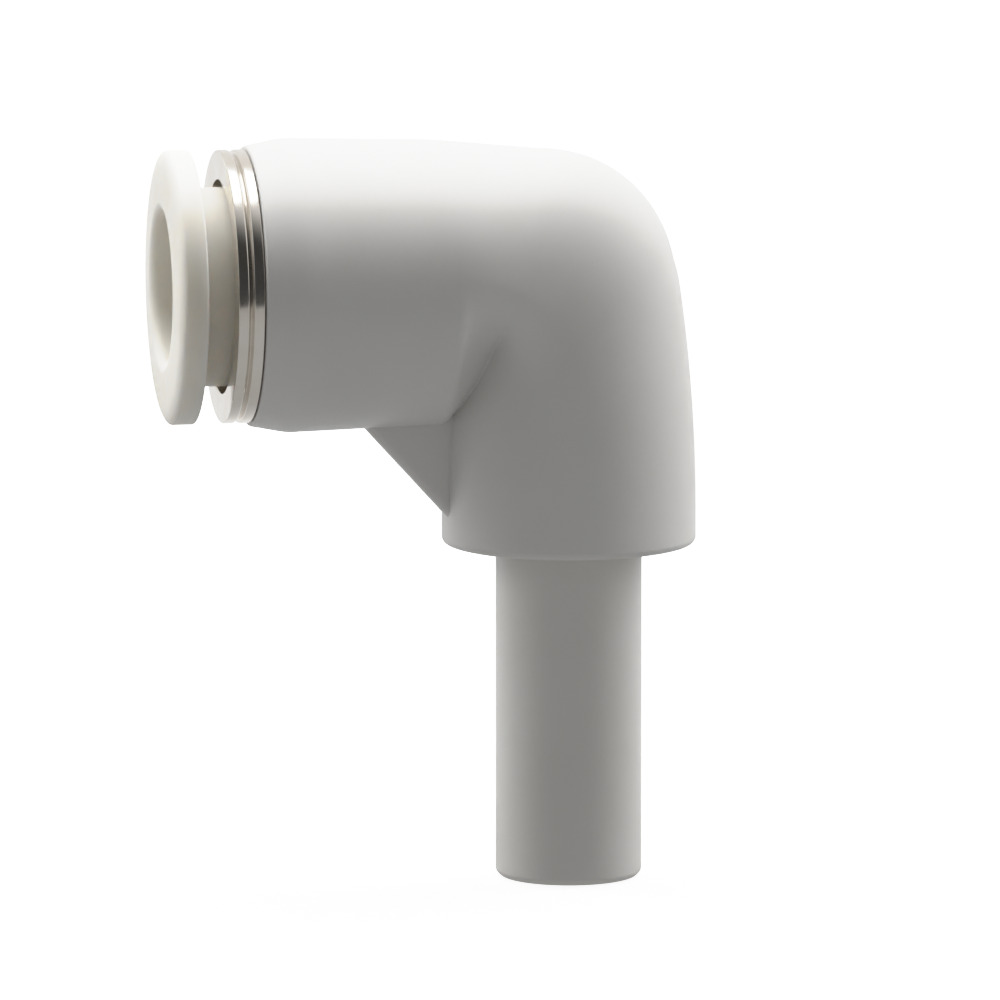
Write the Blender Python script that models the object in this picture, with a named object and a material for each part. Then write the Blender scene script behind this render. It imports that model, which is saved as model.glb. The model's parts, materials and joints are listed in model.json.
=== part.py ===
"""Push to connect fitting: a plug-in elbow for 8 mm tube.

An 8 mm plug stem hangs below a moulded elbow, which swivels on it.  The elbow's
barrel points along -X and holds, from its mouth inwards, a plated guide ring, the
release button that slides in the ring, a ring of spring claws that grips the tube,
a spacer and a lip seal.

Frame: the origin is the centre of the stem's free end, +Z runs up the stem, and
the tube port faces -X.  Distances below are in metres; MM turns millimetres into
metres.
"""

from math import cos, degrees, hypot, pi, radians, sin, tan

import bmesh
import bpy
import numpy as np
from mathutils import Matrix, Vector

MM = 0.001

# --- Driving dimensions -----------------------------------------------------------
TUBE_R = 4.0 * MM  # outer radius of the tube that the port takes, and of the stem
STEM_LENGTH = 18.4 * MM  # free length of the stem below the elbow
AXIS_Z = 32.9 * MM  # height of the barrel's axis above the stem's end
MOUTH_X = -17.75 * MM  # the barrel's mouth face
TUBE_STOP_X = -4.1 * MM  # where an inserted tube's end rests
CLEARANCE = 0.1 * MM  # between pieces that touch on the real fitting
STEPS = 48  # flats around a turned piece

# Elbow, outside.  Heights with an H are counted from the barrel's axis.
BARREL_R = 8.0 * MM
BARREL_END_R = 7.75 * MM
MOUTH_R = 7.64 * MM
MOUTH_TAPER = 2.0 * MM
MOUTH_EDGE = 0.15 * MM
SHOULDER_X = -7.15 * MM  # the barrel's end edge, from which its shoulder falls
SHOULDER_SLOPE = 1.1  # radius lost per length along the shoulder
NECK_R = 5.85 * MM  # the upright part just under the bend
BOSS_R = 6.95 * MM  # the upright part at its foot
NECK_H = 1.1 * MM
BOSS_H = -12.7 * MM
CORNER_R = 7.45 * MM  # the big rounded outer corner, seen from the side
CORNER_H = -0.27 * MM
CORNER_X = NECK_R - CORNER_R
PIVOT_X = -7.35 * MM  # the sections of the bend turn about this inner corner
PIVOT_H = -8.1 * MM
BOSS_FOOT_H = STEM_LENGTH - AXIS_Z
FOOT_FILLET = 0.4 * MM
EDGE_BLEND = 0.3 * MM

# Rib in the inner corner
RIB_THICK = 2.7 * MM
RIB_START = (-11.35 * MM, -7.87 * MM)  # x and height where its edge leaves the barrel
RIB_END = (-7.05 * MM, -12.6 * MM)  # and where it meets the upright part
RIB_ROOT_H = -7.2 * MM
RIB_ROOT_X = -6.2 * MM
RIB_FILLET = 0.4 * MM

# Elbow, inside
SOCKET_R = 6.45 * MM  # bore that takes the guide ring, spacer and seal
SOCKET_END_X = -8.6 * MM
TUBE_BORE_R = 4.1 * MM
PASSAGE_R = 3.0 * MM
STEM_SOCKET_R = 5.65 * MM
STEM_SOCKET_TOP = 22.75 * MM
SPIGOT_BORE_R = 4.7 * MM
SPIGOT_BORE_TOP = 27.1 * MM

# Stem, with the collar that holds it and the spigot that seals it
STEM_BORE_R = 3.0 * MM
STEM_CHAMFER = 0.3 * MM
COLLAR_R = 5.45 * MM
COLLAR_BOTTOM = 20.75 * MM
SPIGOT_R = 4.55 * MM
SPIGOT_TOP = 27.0 * MM
O_RING_Z = 24.6 * MM
O_RING_WIDTH = 1.0 * MM
GROOVE_R = 3.75 * MM
BUSH_R = 5.6 * MM
BUSH_BORE_R = 4.15 * MM

# Guide ring
RING_FRONT_X = -19.25 * MM
RING_R = 7.43 * MM
RING_LIP_R = 5.8 * MM
RING_LIP_THICK = 0.85 * MM
RING_SLEEVE_R = 6.4 * MM
RING_BORE_R = 6.1 * MM
RING_SLEEVE_END_X = -14.15 * MM
RING_GROOVE_DEPTH = 0.3 * MM
RING_GROOVE_WIDTH = 0.16 * MM

# Release button
BUTTON_LIP_X = -22.45 * MM
BUTTON_R = 7.45 * MM
BUTTON_BACK_X = -20.85 * MM
BUTTON_CROWN = 0.08 * MM  # how far the lip stands in front of the rest of the face
BUTTON_EDGE = 1.1 * MM  # the face's rounded edge: this much of the radius,
BUTTON_EDGE_DEPTH = 0.4 * MM  # and this deep
SKIRT_R = 5.4 * MM
BARB_R = 6.0 * MM
BARB_LENGTH = 0.75 * MM
NOSE_R = 4.5 * MM
NOSE_ROUND = 0.15 * MM
TRAVEL = 1.4 * MM

# Chuck: a stamped rim with spring claws
CLAWS = 12
CHUCK_X = -13.98 * MM
CHUCK_THICK = 0.25 * MM
CLAW_ROOT_R = 5.75 * MM
CLAW_LENGTH = 2.54 * MM
CLAW_SLOT = 0.35 * MM
CLAW_REST = radians(38.5)  # lean of a claw from the plane of the rim, at rest
CLAW_OPENING = radians(16.5)  # further lean with the button pressed home

# Spacer and seal
SPACER_X = -13.8 * MM
SPACER_END_X = -11.1 * MM
SPACER_R = 6.35 * MM
SPACER_BORE_R = 5.95 * MM
SPACER_WEB = 0.45 * MM
SEAL_X = -11.0 * MM
SEAL_END_X = -8.75 * MM
SEAL_R = 6.35 * MM
SEAL_LIP_R = 3.8 * MM

AXIS = Vector((0.0, 0.0, AXIS_Z))
ALONG_X = Vector((1.0, 0.0, 0.0))
ALONG_Z = Vector((0.0, 0.0, 1.0))


# --- Helpers ----------------------------------------------------------------------
def material(name, colour, roughness, metallic=0.0):
    """A Principled material with a plain colour."""
    found = bpy.data.materials.get(name)
    if found:
        return found
    made = bpy.data.materials.new(name)
    made.use_nodes = True
    shader = made.node_tree.nodes["Principled BSDF"]
    shader.inputs["Base Color"].default_value = (*colour, 1.0)
    shader.inputs["Roughness"].default_value = roughness
    shader.inputs["Metallic"].default_value = metallic
    made.diffuse_color = (*colour, 1.0)
    return made


def white_plastic():
    return material("moulded_white", (0.68, 0.67, 0.65), 0.42)


def ivory_plastic():
    return material("ivory_acetal", (0.83, 0.80, 0.73), 0.38)


def nickel():
    return material("nickel_plate", (0.72, 0.70, 0.66), 0.16, 1.0)


def stainless():
    return material("spring_stainless", (0.62, 0.61, 0.60), 0.24, 1.0)


def rubber():
    return material("nitrile_rubber", (0.03, 0.03, 0.03), 0.62)


def add_object(name, bm, finish):
    """Turn a bmesh into a named, smooth-shaded object with one material."""
    bmesh.ops.recalc_face_normals(bm, faces=bm.faces)
    mesh = bpy.data.meshes.new(name)
    bm.to_mesh(mesh)
    bm.free()
    mesh.shade_smooth()
    mesh.set_sharp_from_angle(angle=radians(32))
    made = bpy.data.objects.new(name, mesh)
    if finish:
        mesh.materials.append(finish)
    bpy.context.scene.collection.objects.link(made)
    return made


def as_cutter(made):
    """Keep an object out of the model: it only shapes another."""
    made.hide_render = True
    made.display_type = "WIRE"
    return made


def combine(target, other, operation):
    """Add a Boolean of another object to target."""
    boolean = target.modifiers.new(f"{operation.lower()} {other.name}", "BOOLEAN")
    boolean.operation = operation
    boolean.solver = "EXACT"
    boolean.object = other
    as_cutter(other)


def arc(centre_a, centre_r, radius, start, end, points):
    """Points along an arc in the plane of a turned profile, angles in degrees."""
    steps = [start + (end - start) * i / (points - 1) for i in range(points)]
    return [
        (centre_a + radius * cos(radians(t)), centre_r + radius * sin(radians(t)))
        for t in steps
    ]


def turned(name, profile, about, finish, steps=STEPS):
    """Spin a closed profile of (distance along the axis, radius) into a solid.

    `about` is "barrel" for the barrel's axis or "stem" for the stem's.
    """
    bm = bmesh.new()
    if about == "barrel":
        centre, axis = AXIS, ALONG_X
        points = [AXIS + Vector((a, 0.0, r)) for a, r in profile]
    else:
        centre, axis = Vector(), ALONG_Z
        points = [Vector((r, 0.0, a)) for a, r in profile]
    corners = [bm.verts.new(p) for p in points]
    edges = [bm.edges.new((a, b)) for a, b in zip(corners, corners[1:] + corners[:1])]
    bmesh.ops.spin(
        bm,
        geom=corners + edges,
        cent=centre,
        axis=axis,
        angle=2.0 * pi,
        steps=steps,
        use_merge=True,
    )
    bmesh.ops.remove_doubles(bm, verts=bm.verts, dist=1e-7)
    return add_object(name, bm, finish)


def smooth_step(value):
    value = np.clip(value, 0.0, 1.0)
    return value * value * (3.0 - 2.0 * value)


def smooth_max(a, b, blend):
    share = np.clip(0.5 + 0.5 * (a - b) / blend, 0.0, 1.0)
    return b + (a - b) * share + blend * share * (1.0 - share)


def smooth_min(a, b, blend):
    return -smooth_max(-a, -b, blend)


# --- Elbow, outside ---------------------------------------------------------------
def upright_radius(height):
    """Radius of the upright part: it flares gently from the bend to its foot."""
    down = np.clip((NECK_H - height) / (NECK_H - BOSS_H), 0.0, 1.0)
    return NECK_R + (BOSS_R - NECK_R) * (1.0 - (1.0 - down) ** 2)


def barrel_radius(x):
    """Radius of the barrel with the shoulder that ends it."""
    shoulder = BARREL_END_R - SHOULDER_SLOPE * (x - SHOULDER_X)
    return smooth_min(BARREL_END_R + 0.0 * x, shoulder, EDGE_BLEND)


def side_outline(x, height):
    """Negative inside the elbow's outer outline, seen from the side."""
    flare = upright_radius(height) - NECK_R
    lift = (BARREL_END_R - CORNER_H - CORNER_R) * np.clip(
        (CORNER_X - x) / (CORNER_X - PIVOT_X), 0.0, 1.0
    )
    right = max(x - CORNER_X - flare, 0.0)
    up = max(height - CORNER_H - lift, 0.0)
    return hypot(right, up) - CORNER_R


def last_inside(field, reach):
    """Distance along each ray at which it last leaves the field's inside."""
    inside = field <= 0.0
    last = inside.shape[-1] - 1 - np.argmax(inside[..., ::-1], axis=-1)
    last = np.minimum(last, inside.shape[-1] - 2)
    here = np.take_along_axis(field, last[..., None], axis=-1)[..., 0]
    after = np.take_along_axis(field, last[..., None] + 1, axis=-1)[..., 0]
    step = reach[1] - reach[0]
    change = np.where(after == here, 1.0, after - here)
    found = reach[last] + step * np.clip(-here / change, 0.0, 1.0)
    return np.where(inside.any(axis=-1), found, 0.0)


def bend_section(angle, rays):
    """One ring of points around the bend, in a plane turned about the inner corner.

    The outer half is an ellipse that reaches the side outline.  The inner half is
    where the barrel's shoulder and the upright part meet, and the two halves blend
    across the flank.
    """
    out = np.array([sin(angle), cos(angle)])
    to_centre = -PIVOT_H * cos(angle) ** 2 - PIVOT_X * sin(angle) ** 2
    centre = np.array([PIVOT_X, PIVOT_H]) + to_centre * out

    near, far = 0.0, 16.0 * MM
    for _ in range(40):
        middle = (near + far) / 2.0
        if side_outline(*(centre + middle * out)) < 0.0:
            near = middle
        else:
            far = middle
    height = near
    turn = smooth_step(degrees(angle) / 60.0)
    half_width = BARREL_END_R + (upright_radius(centre[1]) - BARREL_END_R) * turn
    outer = 1.0 / np.hypot(np.cos(rays) / height, np.sin(rays) / half_width)

    reach = np.linspace(0.2 * MM, 12.0 * MM, 600)
    run = np.cos(rays)[:, None] * reach
    y = np.sin(rays)[:, None] * reach
    x = centre[0] + run * out[0]
    h = centre[1] + run * out[1]
    to_barrel = last_inside(np.hypot(y, h) - barrel_radius(x), reach)
    to_upright = last_inside(np.hypot(x, y) - upright_radius(h), reach)
    inner = smooth_max(to_barrel, to_upright, EDGE_BLEND)

    off_top = np.degrees(np.abs((rays + pi) % (2.0 * pi) - pi))
    share = smooth_step((off_top - 80.0) / 45.0)
    distance = outer + (inner - outer) * share
    run = distance * np.cos(rays)
    return [
        Vector((centre[0] + r * out[0], w, AXIS_Z + centre[1] + r * out[1]))
        for r, w in zip(run, distance * np.sin(rays))
    ]


def barrel_stations():
    """(x, radius) of the barrel's rings, from the mouth face to the bend."""
    taper_end = MOUTH_X + MOUTH_TAPER
    straight = [taper_end + (SHOULDER_X - taper_end) * t for t in (0.0, 0.35, 0.7, 0.93)]
    draft = (BARREL_END_R - BARREL_R) / (SHOULDER_X - taper_end)
    stations = [
        (MOUTH_X, MOUTH_R - MOUTH_EDGE),
        (MOUTH_X + MOUTH_EDGE, MOUTH_R),
        (taper_end - 0.3 * MM, BARREL_R - 0.06 * MM),
    ]
    stations += [(x, BARREL_R + draft * (x - taper_end)) for x in straight]
    return stations


def upright_stations():
    """(height, radius) of the rings below the bend, down to the foot."""
    plain = [PIVOT_H - 1.0 * MM, (PIVOT_H + BOSS_H) / 2.0, BOSS_H]
    stations = [(h, float(upright_radius(h))) for h in plain]
    centre_h, centre_r = BOSS_FOOT_H + FOOT_FILLET, BOSS_R - FOOT_FILLET
    for turn in (0.0, 30.0, 60.0, 90.0):
        drop = FOOT_FILLET * sin(radians(turn))
        stations.append((centre_h - drop, centre_r + FOOT_FILLET * cos(radians(turn))))
    return stations


def elbow_skin(name, around, bend_angles):
    """The elbow's outside as one closed skin of rings, without bores."""
    rays = np.arange(around) * 2.0 * pi / around
    rings = []
    for x, radius in barrel_stations():
        rings.append([AXIS + Vector((x, radius * sin(t), radius * cos(t))) for t in rays])
    rings += [bend_section(radians(angle), rays) for angle in bend_angles]
    for h, radius in upright_stations():
        rings.append([AXIS + Vector((radius * cos(t), radius * sin(t), h)) for t in rays])

    bm = bmesh.new()
    grid = [[bm.verts.new(point) for point in ring] for ring in rings]
    for ring, after in zip(grid, grid[1:]):
        for i in range(around):
            j = (i + 1) % around
            bm.faces.new((ring[i], ring[j], after[j], after[i]))
    bm.faces.new(grid[0])
    bm.faces.new(grid[-1])
    return add_object(name, bm, white_plastic())


def rib():
    """The triangular web in the inner corner, rounded along its free edge."""
    fall = (RIB_END[1] - RIB_START[1]) / (RIB_END[0] - RIB_START[0])
    start = (RIB_START[0] + (RIB_ROOT_H - RIB_START[1]) / fall, RIB_ROOT_H)
    end = (RIB_ROOT_X, RIB_END[1] + fall * (RIB_ROOT_X - RIB_END[0]))
    bm = bmesh.new()
    corners = [
        bm.verts.new((x, -RIB_THICK / 2.0, AXIS_Z + h))
        for x, h in (start, end, (RIB_ROOT_X, RIB_ROOT_H))
    ]
    face = bm.faces.new(corners)
    grown = bmesh.ops.extrude_face_region(bm, geom=[face])
    moved = [part for part in grown["geom"] if isinstance(part, bmesh.types.BMVert)]
    bmesh.ops.translate(bm, verts=moved, vec=(0.0, RIB_THICK, 0.0))
    slope = Vector((end[0] - start[0], 0.0, end[1] - start[1])).normalized()
    free_edges = [
        edge
        for edge in bm.edges
        if abs((edge.verts[1].co - edge.verts[0].co).normalized().dot(slope)) > 0.999
    ]
    bmesh.ops.bevel(
        bm, geom=free_edges, offset=RIB_FILLET, segments=3, profile=0.5, affect="EDGES"
    )
    return add_object("rib", bm, None)


# --- Elbow, inside ----------------------------------------------------------------
def barrel_bore():
    """Cutter for the socket, the tube's bore and the passage to the stem."""
    lead = 0.25 * MM
    profile = [
        (MOUTH_X - 1.0 * MM, 0.0),
        (MOUTH_X - 1.0 * MM, SOCKET_R + lead + 1.0 * MM),
        (MOUTH_X + lead, SOCKET_R),
        (SOCKET_END_X, SOCKET_R),
        (SOCKET_END_X, TUBE_BORE_R),
        (TUBE_STOP_X, TUBE_BORE_R),
        (TUBE_STOP_X, PASSAGE_R),
        (0.0, PASSAGE_R),
        (0.0, 0.0),
    ]
    return turned("barrel_bore", profile, "barrel", None)


def upright_bore():
    """Cutter for the stem's socket and the passage, with a domed top."""
    ball_r = PASSAGE_R + 0.12 * MM
    profile = [
        (STEM_LENGTH - 1.0 * MM, 0.0),
        (STEM_LENGTH - 1.0 * MM, STEM_SOCKET_R),
        (STEM_SOCKET_TOP, STEM_SOCKET_R),
        (STEM_SOCKET_TOP, SPIGOT_BORE_R),
        (SPIGOT_BORE_TOP, SPIGOT_BORE_R),
        (SPIGOT_BORE_TOP, ball_r),
    ]
    profile += [(AXIS_Z + a, r) for a, r in arc(0.0, 0.0, ball_r, 90.0, 0.0, 7)[:-1]]
    profile += [(AXIS_Z + ball_r, 0.0)]
    return turned("upright_bore", profile, "stem", None)


def elbow_body():
    bends = (0, 2, 4, 7, 11, 15, 19, 23, 26, 29, 33, 38, 44, 51, 58, 66, 74, 82, 90)
    body = elbow_skin("elbow_body", STEPS, bends)
    combine(body, rib(), "UNION")
    combine(body, barrel_bore(), "DIFFERENCE")
    combine(body, upright_bore(), "DIFFERENCE")
    return body


# --- Stem and what holds it -------------------------------------------------------
def plug_stem():
    groove_low = O_RING_Z - O_RING_WIDTH / 2.0 - CLEARANCE
    groove_high = O_RING_Z + O_RING_WIDTH / 2.0 + CLEARANCE
    collar_top = STEM_SOCKET_TOP - CLEARANCE
    profile = [
        (0.0, STEM_BORE_R),
        (0.0, TUBE_R - STEM_CHAMFER),
        (STEM_CHAMFER, TUBE_R),
        (COLLAR_BOTTOM, TUBE_R),
        (COLLAR_BOTTOM, COLLAR_R),
        (collar_top, COLLAR_R),
        (collar_top, SPIGOT_R),
        (groove_low, SPIGOT_R),
        (groove_low, GROOVE_R),
        (groove_high, GROOVE_R),
        (groove_high, SPIGOT_R),
        (SPIGOT_TOP - STEM_CHAMFER, SPIGOT_R),
        (SPIGOT_TOP, SPIGOT_R - STEM_CHAMFER),
        (SPIGOT_TOP, STEM_BORE_R),
    ]
    return turned("plug_stem", profile, "stem", white_plastic())


def stem_o_ring():
    inner, outer = GROOVE_R + 0.03 * MM, SPIGOT_BORE_R - 0.03 * MM
    middle, half = (inner + outer) / 2.0, (outer - inner) / 2.0
    sides = 10
    profile = [
        (
            O_RING_Z + O_RING_WIDTH / 2.0 * cos(2.0 * pi * i / sides),
            middle + half * sin(2.0 * pi * i / sides),
        )
        for i in range(sides)
    ]
    return turned("stem_o_ring", profile, "stem", rubber())


def stem_bush():
    """Ring pressed into the elbow's foot, under the stem's collar."""
    top = COLLAR_BOTTOM - CLEARANCE
    edge = 0.2 * MM
    profile = [
        (STEM_LENGTH, BUSH_BORE_R + edge),
        (STEM_LENGTH, BUSH_R),
        (top - edge, BUSH_R),
        (top, BUSH_R - edge),
        (top, BUSH_BORE_R),
        (STEM_LENGTH + edge, BUSH_BORE_R),
    ]
    return turned("stem_bush", profile, "stem", white_plastic())


# --- Tube port --------------------------------------------------------------------
def guide_ring():
    """Plated ring pressed into the mouth: two ridges outside, a sleeve inside."""
    back = MOUTH_X - CLEARANCE / 2.0
    middle = (RING_FRONT_X + back) / 2.0
    edge = 0.1 * MM
    inner_x = RING_FRONT_X + RING_LIP_THICK
    profile = [
        (RING_FRONT_X, RING_LIP_R + edge),
        (RING_FRONT_X, RING_R - edge),
        (RING_FRONT_X + edge, RING_R),
        (middle - RING_GROOVE_WIDTH, RING_R),
        (middle, RING_R - RING_GROOVE_DEPTH),
        (middle + RING_GROOVE_WIDTH, RING_R),
        (back - edge, RING_R),
        (back, RING_R - edge),
        (back, RING_SLEEVE_R),
        (RING_SLEEVE_END_X - edge, RING_SLEEVE_R),
        (RING_SLEEVE_END_X, RING_SLEEVE_R - edge),
        (RING_SLEEVE_END_X, RING_BORE_R),
        (inner_x, RING_BORE_R),
        (inner_x, RING_LIP_R),
        (RING_FRONT_X + edge, RING_LIP_R),
    ]
    return turned("guide_ring", profile, "barrel", nickel())


def release_button():
    """Button with a rounded flange, a skirt with a barb, and a tapered nose.

    The barb behind the guide ring's lip keeps the button in, and the nose pushes
    the claws open.
    """
    edge_x = BUTTON_LIP_X + BUTTON_CROWN + BUTTON_EDGE_DEPTH
    barb_x = RING_FRONT_X + RING_LIP_THICK + CLEARANCE
    bell = 0.55 * MM
    opened = CLAW_REST + CLAW_OPENING
    taper = tan(opened)
    claw_face_x = CHUCK_X + (CLAW_ROOT_R - NOSE_R) * taper - CHUCK_THICK / 2.0 / cos(opened)
    nose_x = claw_face_x - CLEARANCE - TRAVEL
    profile = arc(BUTTON_LIP_X + bell, TUBE_BORE_R + bell, bell, 270.0, 180.0, 5)
    for turn in (0.0, 30.0, 60.0, 90.0):
        depth = BUTTON_EDGE_DEPTH * cos(radians(turn))
        reach = BUTTON_EDGE * (1.0 - sin(radians(turn)))
        profile.append((edge_x - depth, BUTTON_R - reach))
    profile += [
        (BUTTON_BACK_X - 0.1 * MM, BUTTON_R),
        (BUTTON_BACK_X, BUTTON_R - 0.1 * MM),
        (BUTTON_BACK_X, SKIRT_R),
        (barb_x, SKIRT_R),
        (barb_x, BARB_R),
        (barb_x + 0.25 * MM, BARB_R),
        (barb_x + BARB_LENGTH, SKIRT_R),
        (nose_x - (SKIRT_R - NOSE_R) * taper, SKIRT_R),
        (nose_x - NOSE_ROUND * taper, NOSE_R + NOSE_ROUND),
        (nose_x, NOSE_R - NOSE_ROUND),
        (nose_x, TUBE_BORE_R),
    ]
    return turned("release_button", profile, "barrel", ivory_plastic())


def chuck_rim():
    low, high = CHUCK_X - CHUCK_THICK / 2.0, CHUCK_X + CHUCK_THICK / 2.0
    inner, outer = CLAW_ROOT_R + CLEARANCE, SPACER_R
    profile = [(low, inner), (low, outer), (high, outer), (high, inner)]
    return turned("chuck_rim", profile, "barrel", stainless())


def chuck_claw(number):
    """One spring claw, with its object's origin on the line that it bends about."""
    pitch = 2.0 * pi / CLAWS
    start, tip = 0.06 * MM, CLAW_LENGTH
    half = CHUCK_THICK / 2.0
    bevel = 0.15 * MM

    def half_width(along):
        radius = CLAW_ROOT_R - along * cos(CLAW_REST)
        return radius * tan(pitch / 2.0) - CLAW_SLOT / 2.0

    # Local axes: +X along the claw, +Y across it, +Z out of the face towards the port.
    bm = bmesh.new()
    outline = (
        (start, -half),
        (tip - bevel, -half),
        (tip, bevel - half),
        (tip, half),
        (start, half),
    )
    sides = [
        [bm.verts.new((along, side * half_width(along), up)) for along, up in outline]
        for side in (-1.0, 1.0)
    ]
    bm.faces.new(sides[0])
    bm.faces.new(sides[1])
    count = len(outline)
    for i in range(count):
        j = (i + 1) % count
        bm.faces.new((sides[0][i], sides[0][j], sides[1][j], sides[1][i]))
    made = add_object(f"chuck_claw_{number:02d}", bm, stainless())

    turn = number * pitch
    outwards = Vector((0.0, cos(turn), sin(turn)))
    across = Vector((0.0, -sin(turn), cos(turn)))
    along = sin(CLAW_REST) * ALONG_X - cos(CLAW_REST) * outwards
    face = along.cross(across)
    root = AXIS + CHUCK_X * ALONG_X + CLAW_ROOT_R * outwards
    lean = Matrix((along, across, face)).transposed().to_4x4()
    made.matrix_world = Matrix.Translation(root) @ lean
    return made


def seal_spacer():
    """Cup-shaped ring that keeps the claws off the seal."""
    web_x = SPACER_END_X - SPACER_WEB
    profile = [
        (SPACER_X, SPACER_BORE_R),
        (SPACER_X, SPACER_R),
        (SPACER_END_X, SPACER_R),
        (SPACER_END_X, TUBE_BORE_R + 0.1 * MM),
        (web_x, TUBE_BORE_R + 0.1 * MM),
        (web_x, SPACER_BORE_R),
    ]
    return turned("seal_spacer", profile, "barrel", ivory_plastic())


def lip_seal():
    """Rubber seal: a heel against the spacer and two lips towards the pressure."""
    heel_r = 4.9 * MM
    profile = [
        (SEAL_X, heel_r),
        (SEAL_X, SEAL_R),
        (SEAL_END_X - 0.15 * MM, SEAL_R),
        (SEAL_END_X - 0.1 * MM, SEAL_R - 0.45 * MM),
        (SEAL_END_X - 0.95 * MM, 5.35 * MM),
        (SEAL_END_X - 0.9 * MM, 4.95 * MM),
        (SEAL_END_X - 0.35 * MM, SEAL_LIP_R + 0.3 * MM),
        (SEAL_END_X - 0.4 * MM, SEAL_LIP_R),
        (SEAL_END_X - 0.75 * MM, SEAL_LIP_R + 0.02 * MM),
        (SEAL_X + 0.55 * MM, 4.45 * MM),
    ]
    return turned("lip_seal", profile, "barrel", rubber())


# --- Assembly ---------------------------------------------------------------------
def parent_to(empty, pieces):
    """Parent pieces to an empty without moving them."""
    for piece in pieces:
        piece.parent = empty
        piece.matrix_parent_inverse = empty.matrix_world.inverted()


def add_empty(name, place):
    made = bpy.data.objects.new(name, None)
    made.matrix_world = Matrix.Translation(place)
    bpy.context.scene.collection.objects.link(made)
    bpy.context.view_layer.update()
    return made


def main():
    for old in list(bpy.data.objects):
        bpy.data.objects.remove(old, do_unlink=True)

    stem = [plug_stem(), stem_o_ring()]
    elbow = [elbow_body(), stem_bush(), guide_ring(), chuck_rim(), seal_spacer(), lip_seal()]
    button = release_button()
    claws = [chuck_claw(number) for number in range(1, CLAWS + 1)]
    bpy.context.view_layer.update()

    parent_to(add_empty("stem_end", Vector()), stem)
    swivel = add_empty("swivel_axis", Vector((0.0, 0.0, COLLAR_BOTTOM)))
    parent_to(swivel, elbow + claws)
    slide = add_empty("button_axis", AXIS + BUTTON_LIP_X * ALONG_X)
    parent_to(slide, [button])
    parent_to(swivel, [slide])


main()
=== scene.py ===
"""Looks of the push to connect fitting: fine pieces, materials, light and camera.

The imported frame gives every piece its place.  Each CAD node is stood for by a finer
piece of the same shape, with rounded edges, so the pieces move as the CAD does.  Only
the claws differ: their root corners are cut back, to clear the rim when they open.
Distances are in metres; MM turns millimetres into metres.
"""

import json
from math import cos, degrees, hypot, pi, radians, sin, tan

import bmesh
import bpy
import numpy as np
from mathutils import Matrix, Vector


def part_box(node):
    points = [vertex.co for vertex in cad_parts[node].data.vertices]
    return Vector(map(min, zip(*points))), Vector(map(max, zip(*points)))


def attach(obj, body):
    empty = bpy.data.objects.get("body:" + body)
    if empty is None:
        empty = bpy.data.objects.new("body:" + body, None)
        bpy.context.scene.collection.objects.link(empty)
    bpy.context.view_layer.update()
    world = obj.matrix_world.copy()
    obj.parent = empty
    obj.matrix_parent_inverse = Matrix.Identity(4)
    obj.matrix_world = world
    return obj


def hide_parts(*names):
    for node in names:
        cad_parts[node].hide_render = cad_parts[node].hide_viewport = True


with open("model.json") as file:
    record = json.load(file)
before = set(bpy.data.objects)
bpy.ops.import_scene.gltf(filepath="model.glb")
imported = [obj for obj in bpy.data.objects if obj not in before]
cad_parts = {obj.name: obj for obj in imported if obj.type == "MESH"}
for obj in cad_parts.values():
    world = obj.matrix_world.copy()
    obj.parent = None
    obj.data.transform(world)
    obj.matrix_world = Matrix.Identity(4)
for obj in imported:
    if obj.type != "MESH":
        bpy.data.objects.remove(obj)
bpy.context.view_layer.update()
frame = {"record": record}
BODIES = frame["record"]["behaviour"]["bodies"]
BODY_OF = {node: body for body, nodes in BODIES.items() for node in nodes}
SLOT_OF = {part["node"]: part["material_slot"] for part in frame["record"]["subparts"]}

MM = 0.001
ELBOW_LOW, ELBOW_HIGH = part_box("elbow_body")
STEM_LOW, STEM_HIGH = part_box("plug_stem")
BUSH_LOW, BUSH_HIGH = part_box("stem_bush")
RING_LOW, RING_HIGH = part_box("guide_ring")
BUTTON_LOW, BUTTON_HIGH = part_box("release_button")
RIM_LOW, RIM_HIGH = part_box("chuck_rim")
SPACER_LOW, SPACER_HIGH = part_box("seal_spacer")
SEAL_LOW, SEAL_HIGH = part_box("lip_seal")
O_RING_LOW, O_RING_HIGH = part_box("stem_o_ring")

AXIS_Z = (BUTTON_LOW.z + BUTTON_HIGH.z) / 2.0  # height of the barrel's axis
AXIS = Vector((0.0, 0.0, AXIS_Z))
ALONG_X = Vector((1.0, 0.0, 0.0))
ALONG_Z = Vector((0.0, 0.0, 1.0))
TUBE_R = 4.0 * MM
CLEARANCE = 0.1 * MM
FINE_STEPS = 192  # flats around a turned piece that shows
INNER_STEPS = 128  # and around one inside the port
SHARP_ANGLE = radians(32)  # edges that turn more than this are shaded sharp
NEARLY_STRAIGHT = radians(160)  # profile corners flatter than this aren't rounded
SIDE_SHARE = 0.45  # most of a profile's side that one rounded corner takes up
OVERSHOOT = 1.0 * MM  # how far a cutter stands out past the face it opens

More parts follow.
